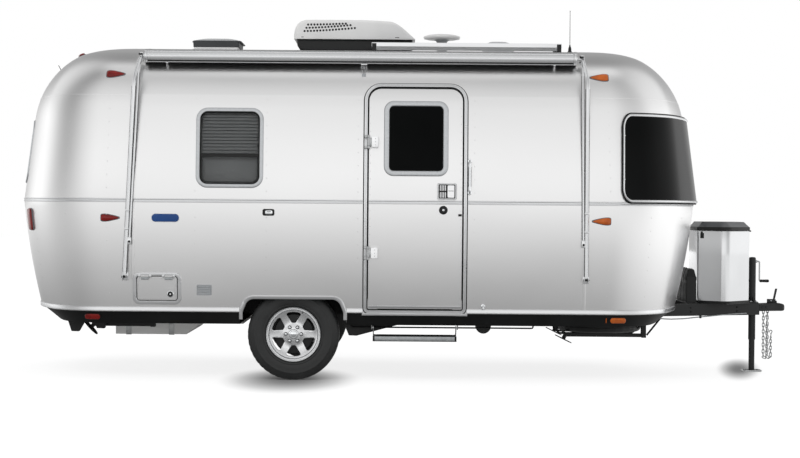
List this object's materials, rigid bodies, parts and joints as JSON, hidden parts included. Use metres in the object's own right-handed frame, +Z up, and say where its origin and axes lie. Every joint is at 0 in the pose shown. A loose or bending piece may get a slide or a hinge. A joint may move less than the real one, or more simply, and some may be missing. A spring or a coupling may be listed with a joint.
{
  "type": "travel caravan",
  "caption": "Single-axle travel caravan with a rounded aluminium body, entry door, roof fittings, folding step and drop legs, standing on its tongue jack.",
  "frame": {"origin": "on the ground under the middle of the caravan, tongue included", "axes": "+X forward to the coupler, +Y to the street side (away from the entry door), +Z up"},
  "size_m": [6.2307, 2.5304, 2.923],
  "materials": {
    "aluminium_skin": "clear coated sheet, bright",
    "aluminium_trim": "extruded, bright",
    "black_steel": "black paint, semi-gloss",
    "zinc_steel": "zinc plated",
    "black_plastic": "moulded, fine texture",
    "white_plastic": "moulded, satin",
    "tinted_plastic": "dark tinted sheet",
    "window_glass": "tinted",
    "tyre_rubber": "moulded rubber",
    "wheel_alloy": "cast, machined face",
    "floor_board": "sealed board",
    "pan_sheet": "black coated sheet",
    "tank_sheet": "mill finish sheet",
    "gas_steel": "painted bottle",
    "cover_metal": "metallic silver paint",
    "red_lens": "clear red lens",
    "amber_lens": "clear amber lens",
    "solar_cells": "cells under glass",
    "roller_vinyl": "coated roller"
  },
  "bodies": {
    "caravan": {"amber_lamps": "amber_lens", "awning_arms": "aluminium_trim", "awning_roller": "roller_vinyl", "axle_beam": "black_steel", "base_rail": "aluminium_trim", "battery_box": "black_plastic", "belly_pan": "pan_sheet", "chassis_crossmembers": "black_steel", "chassis_rails": "black_steel", "cooler_base": "black_plastic", "cooler_shroud": "white_plastic", "coupler": "black_steel", "curb_side_wall": "aluminium_skin", "door_frame": "aluminium_trim", "floor_deck": "floor_board", "front_cap": "aluminium_skin", "front_guard": "tinted_plastic", "gas_bottles": "gas_steel", "gas_tray": "black_steel", "grab_handle": "zinc_steel", "holding_tank": "tank_sheet", "jack_tube": "black_steel", "leg_brackets": "black_steel", "rear_cap": "aluminium_skin", "red_lamps": "red_lens", "roof_antennas": "white_plastic", "roof_shell": "aluminium_skin", "safety_chains": "zinc_steel", "solar_panel": "solar_cells", "spare_wheel": "tyre_rubber", "step_hangers": "black_steel", "street_side_wall": "aluminium_skin", "tank_cover": "cover_metal", "vent_frames": "white_plastic", "wheel_wells": "pan_sheet", "window_frames": "aluminium_trim", "window_panes": "window_glass"},
    "wheel_curb": {"tyre_curb": "tyre_rubber", "rim_curb": "wheel_alloy"},
    "wheel_street": {"tyre_street": "tyre_rubber", "rim_street": "wheel_alloy"},
    "door": {"entry_door": "aluminium_skin", "door_pane": "window_glass", "door_trim": "aluminium_trim"},
    "hatch": {"curb_hatch": "aluminium_skin"},
    "locker_lid": {"tank_lid": "black_plastic"},
    "vent_lid": {"roof_vent_lid": "white_plastic"},
    "jack_slide": {"jack_leg": "zinc_steel"},
    "step_arm_pair": {"step_arms": "black_steel"},
    "step_link_pair": {"step_links": "black_steel"},
    "step": {"step_tread": "aluminium_trim"},
    "front_curb_leg": {"front_leg_curb": "black_steel"},
    "front_street_leg": {"front_leg_street": "black_steel"},
    "rear_curb_leg": {"rear_leg_curb": "black_steel"},
    "rear_street_leg": {"rear_leg_street": "black_steel"}
  },
  "joints": [
    {"name": "curb_wheel_spin", "type": "hinge", "parent": "caravan", "child": "wheel_curb", "pos_m": [-0.86, -1.013, 0.35], "axis": [0, 1, 0], "continuous": true},
    {"name": "street_wheel_spin", "type": "hinge", "parent": "caravan", "child": "wheel_street", "pos_m": [-0.86, 1.013, 0.35], "axis": [0, 1, 0], "continuous": true},
    {"name": "door_hinge", "type": "hinge", "parent": "caravan", "child": "door", "pos_m": [-0.293, -1.249, 1.4], "axis": [0, 0, -1], "range_deg": [0, 150]},
    {"name": "hatch_hinge", "type": "hinge", "parent": "caravan", "child": "hatch", "pos_m": [-1.8925, -1.21243, 0.79], "axis": [-1, 0, 0], "range_deg": [0, 110]},
    {"name": "locker_lid_hinge", "type": "hinge", "parent": "caravan", "child": "locker_lid", "pos_m": [2.809, 0, 1.156], "axis": [0, 1, 0], "range_deg": [0, 80]},
    {"name": "vent_lid_hinge", "type": "hinge", "parent": "caravan", "child": "vent_lid", "pos_m": [-1.749, 0, 2.662], "axis": [0, -1, 0], "range_deg": [0, 60]},
    {"name": "jack_leg_slide", "type": "slide", "parent": "caravan", "child": "jack_slide", "axis": [0, 0, 1], "range_m": [0, 0.24]},
    {"name": "step_arm_swing", "type": "hinge", "parent": "caravan", "child": "step_arm_pair", "pos_m": [0.0665, -1.062, 0.408], "axis": [-1, 0, 0], "range_deg": [0, 90]},
    {"name": "step_link_swing", "type": "hinge", "parent": "caravan", "child": "step_link_pair", "pos_m": [0.0665, -1.124, 0.408], "axis": [-1, 0, 0], "range_deg": [0, 90]},
    {"name": "step_level", "type": "hinge", "parent": "step_arm_pair", "child": "step", "pos_m": [0.0665, -0.97007, 0.33087], "axis": [-1, 0, 0], "range_deg": [-90, 0]},
    {"name": "front_curb_leg_drop", "type": "hinge", "parent": "caravan", "child": "front_curb_leg", "pos_m": [1.9, -0.457, 0.32], "axis": [0, -1, 0], "range_deg": [0, 25.9]},
    {"name": "front_street_leg_drop", "type": "hinge", "parent": "caravan", "child": "front_street_leg", "pos_m": [1.9, 0.457, 0.32], "axis": [0, -1, 0], "range_deg": [0, 25.9]},
    {"name": "rear_curb_leg_drop", "type": "hinge", "parent": "caravan", "child": "rear_curb_leg", "pos_m": [-1.99, -0.66, 0.39], "axis": [0, -1, 0], "range_deg": [0, 46.8]},
    {"name": "rear_street_leg_drop", "type": "hinge", "parent": "caravan", "child": "rear_street_leg", "pos_m": [-1.99, 0.66, 0.39], "axis": [0, -1, 0], "range_deg": [0, 46.8]}
  ],
  "couplings": [
    {"joint": "step_link_swing", "follows": "step_arm_swing", "ratio": 1},
    {"joint": "step_level", "follows": "step_arm_swing", "ratio": -1}
  ]
}
